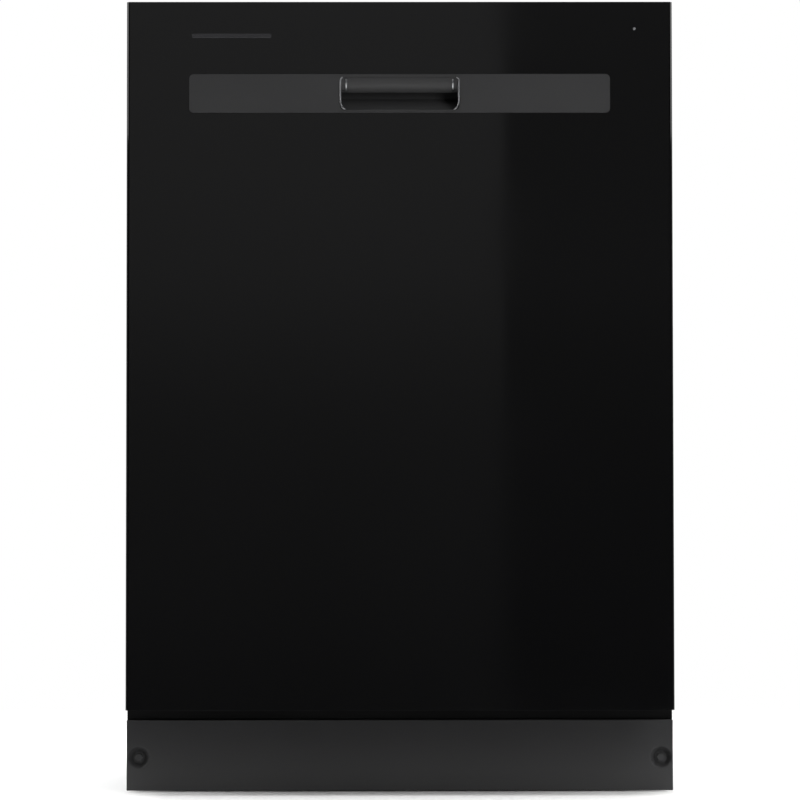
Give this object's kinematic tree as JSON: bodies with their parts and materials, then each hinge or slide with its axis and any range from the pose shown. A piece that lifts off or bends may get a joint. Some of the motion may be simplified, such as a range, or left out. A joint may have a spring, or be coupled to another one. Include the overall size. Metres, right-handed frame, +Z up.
{
  "type": "built-in dishwasher",
  "caption": "Built-in dishwasher with a gloss black pocket-handle door on a bottom hinge, wheeled racks, spray arms, pump, and a recessed grey toe panel.",
  "frame": {"origin": "on the floor, at the middle of the bounding box", "axes": "+Z up, the door faces -Y, +X to the right when looking at the door"},
  "size_m": [0.606, 0.622, 0.868],
  "materials": {
    "gloss_black": "gloss black baked enamel",
    "gloss_console": "gloss black moulded plastic",
    "satin_grey": "satin dark grey",
    "satin_toe": "satin dark grey paint",
    "black_steel": "satin black paint",
    "badge": "brushed",
    "light_lens": "frosted lens",
    "stainless": "brushed stainless sheet",
    "zinc": "galvanised",
    "screw_steel": "plated",
    "seal_rubber": "soft black rubber",
    "felt": "pressed felt",
    "black_plastic": "moulded",
    "grey_plastic": "moulded",
    "white_plastic": "moulded",
    "button_black": "moulded",
    "board_green": "solder mask",
    "rack_wire": "grey nylon-coated wire"
  },
  "bodies": {
    "cabinet": {"base_tray": "black_plastic", "tub": "stainless", "tub_gasket": "seal_rubber", "frame_left": "zinc", "frame_right": "zinc", "strike_rail": "zinc", "mounting_brackets": "zinc", "sound_blanket": "felt", "sump": "grey_plastic", "filter_plate": "stainless", "wash_pump": "grey_plastic", "drain_pump": "grey_plastic", "drain_loop": "grey_plastic", "inlet_valve": "white_plastic", "junction_box": "zinc", "heater_loop": "stainless", "spray_manifold": "grey_plastic", "upper_rails": "stainless", "toe_panel": "satin_toe", "access_panel": "black_steel", "toe_screws": "screw_steel", "door_springs": "screw_steel"},
    "foot_front_left": {"foot_front_left": "black_plastic"},
    "foot_front_right": {"foot_front_right": "black_plastic"},
    "feet_rear": {"feet_rear": "black_plastic"},
    "impeller": {"impeller": "white_plastic"},
    "filter_cup": {"filter_cup": "grey_plastic"},
    "float_switch": {"float_switch": "white_plastic"},
    "door": {"door_panel": "gloss_black", "handle_strip": "satin_grey", "handle_pocket": "satin_grey", "badge_plate": "badge", "status_light": "light_lens", "console": "gloss_console", "door_liner": "stainless", "dispenser_body": "grey_plastic", "vent_cap": "grey_plastic", "hinge_arms": "zinc", "control_board": "board_green", "liner_screws": "screw_steel"},
    "detergent_lid": {"detergent_lid": "white_plastic"},
    "rinse_cap": {"rinse_cap": "white_plastic"},
    "latch_hook": {"latch_hook": "zinc"},
    "power_button": {"power_button": "button_black"},
    "cycle_button": {"cycle_button": "button_black"},
    "option_button": {"option_button": "button_black"},
    "start_button": {"start_button": "button_black"},
    "lower_rack": {"lower_rack": "rack_wire"},
    "lower_wheels_front": {"lower_wheels_front": "grey_plastic"},
    "lower_wheels_rear": {"lower_wheels_rear": "grey_plastic"},
    "fold_tines": {"fold_tines": "rack_wire"},
    "cutlery_basket": {"cutlery_basket": "grey_plastic"},
    "lower_spray_arm": {"lower_spray_arm": "grey_plastic"},
    "upper_carriage": {"upper_carriage": "grey_plastic"},
    "upper_wheels_front": {"upper_wheels_front": "white_plastic"},
    "upper_wheels_rear": {"upper_wheels_rear": "white_plastic"},
    "upper_rack": {"upper_rack": "rack_wire", "feed_pipe": "grey_plastic"},
    "middle_spray_arm": {"middle_spray_arm": "grey_plastic"},
    "cup_shelf": {"cup_shelf": "rack_wire"}
  },
  "joints": [
    {"name": "door_hinge", "type": "hinge", "parent": "cabinet", "child": "door", "pos_m": [0, -0.266, 0.115], "axis": [1, 0, 0], "range_deg": [0, 90], "deforming": ["door_springs"]},
    {"name": "foot_front_left_level", "type": "slide", "parent": "cabinet", "child": "foot_front_left", "axis": [0, 0, 1], "range_m": [-0.025, 0]},
    {"name": "foot_front_right_level", "type": "slide", "parent": "cabinet", "child": "foot_front_right", "axis": [0, 0, 1], "range_m": [-0.025, 0]},
    {"name": "feet_rear_level", "type": "slide", "parent": "cabinet", "child": "feet_rear", "axis": [0, 0, 1], "range_m": [-0.025, 0]},
    {"name": "impeller_spin", "type": "hinge", "parent": "cabinet", "child": "impeller", "pos_m": [0, 0.06, 0.084], "axis": [1, 0, 0], "continuous": true},
    {"name": "filter_cup_turn", "type": "hinge", "parent": "cabinet", "child": "filter_cup", "pos_m": [0.048, -0.028, 0.12], "axis": [0, 0, 1], "range_deg": [0, 90]},
    {"name": "float_lift", "type": "slide", "parent": "cabinet", "child": "float_switch", "axis": [0, 0, 1], "range_m": [0, 0.012]},
    {"name": "detergent_lid_slide", "type": "slide", "parent": "door", "child": "detergent_lid", "axis": [0, 0, 1], "range_m": [0, 0.062]},
    {"name": "rinse_cap_turn", "type": "hinge", "parent": "door", "child": "rinse_cap", "pos_m": [0.045, -0.25, 0.555], "axis": [0, 1, 0], "range_deg": [0, 90]},
    {"name": "latch_lift", "type": "hinge", "parent": "door", "child": "latch_hook", "pos_m": [0, -0.272, 0.855], "axis": [1, 0, 0], "range_deg": [0, 6], "stiffness_Nm_per_rad": 1, "springref_deg": -5.73},
    {"name": "power_press", "type": "slide", "parent": "door", "child": "power_button", "axis": [0, 0, -1], "range_m": [0, 0.001], "stiffness_N_per_m": 800, "springref_m": -0.0005},
    {"name": "cycle_press", "type": "slide", "parent": "door", "child": "cycle_button", "axis": [0, 0, -1], "range_m": [0, 0.001], "stiffness_N_per_m": 800, "springref_m": -0.0005},
    {"name": "option_press", "type": "slide", "parent": "door", "child": "option_button", "axis": [0, 0, -1], "range_m": [0, 0.001], "stiffness_N_per_m": 800, "springref_m": -0.0005},
    {"name": "start_press", "type": "slide", "parent": "door", "child": "start_button", "axis": [0, 0, -1], "range_m": [0, 0.001], "stiffness_N_per_m": 800, "springref_m": -0.0005},
    {"name": "lower_rack_roll", "type": "slide", "parent": "cabinet", "child": "lower_rack", "axis": [0, -1, 0], "range_m": [0, 0.015]},
    {"name": "lower_wheels_front_roll", "type": "hinge", "parent": "lower_rack", "child": "lower_wheels_front", "pos_m": [0, -0.15, 0.1513], "axis": [1, 0, 0], "range_deg": [-5, 50]},
    {"name": "lower_wheels_rear_roll", "type": "hinge", "parent": "lower_rack", "child": "lower_wheels_rear", "pos_m": [0, 0.15, 0.1513], "axis": [1, 0, 0], "range_deg": [-5, 50]},
    {"name": "tines_fold", "type": "hinge", "parent": "lower_rack", "child": "fold_tines", "pos_m": [0, 0.06, 0.183], "axis": [-1, 0, 0], "range_deg": [0, 75]},
    {"name": "cutlery_lift", "type": "slide", "parent": "lower_rack", "child": "cutlery_basket", "axis": [0, 0, 1], "range_m": [0, 0.1]},
    {"name": "lower_arm_spin", "type": "hinge", "parent": "cabinet", "child": "lower_spray_arm", "pos_m": [0, 0.02, 0.145], "axis": [0, 0, 1], "continuous": true},
    {"name": "upper_rack_roll", "type": "slide", "parent": "cabinet", "child": "upper_carriage", "axis": [0, -1, 0], "range_m": [0, 0.015]},
    {"name": "upper_wheels_front_roll", "type": "hinge", "parent": "upper_carriage", "child": "upper_wheels_front", "pos_m": [0, -0.13, 0.481], "axis": [1, 0, 0], "range_deg": [-5, 110]},
    {"name": "upper_wheels_rear_roll", "type": "hinge", "parent": "upper_carriage", "child": "upper_wheels_rear", "pos_m": [0, 0.13, 0.481], "axis": [1, 0, 0], "range_deg": [-5, 110]},
    {"name": "upper_rack_height", "type": "slide", "parent": "upper_carriage", "child": "upper_rack", "axis": [0, 0, 1], "range_m": [-0.05, 0]},
    {"name": "middle_arm_spin", "type": "hinge", "parent": "upper_rack", "child": "middle_spray_arm", "pos_m": [0, -0.005, 0.458], "axis": [0, 0, 1], "continuous": true},
    {"name": "cup_shelf_fold", "type": "hinge", "parent": "upper_rack", "child": "cup_shelf", "pos_m": [-0.238, 0, 0.6], "axis": [0, -1, 0], "range_deg": [0, 85]}
  ],
  "couplings": [
    {"joint": "lower_wheels_front_roll", "follows": "lower_rack_roll", "rad_per_m": 50},
    {"joint": "lower_wheels_rear_roll", "follows": "lower_rack_roll", "rad_per_m": 50},
    {"joint": "upper_wheels_front_roll", "follows": "upper_rack_roll", "rad_per_m": 117.65},
    {"joint": "upper_wheels_rear_roll", "follows": "upper_rack_roll", "rad_per_m": 117.65}
  ]
}
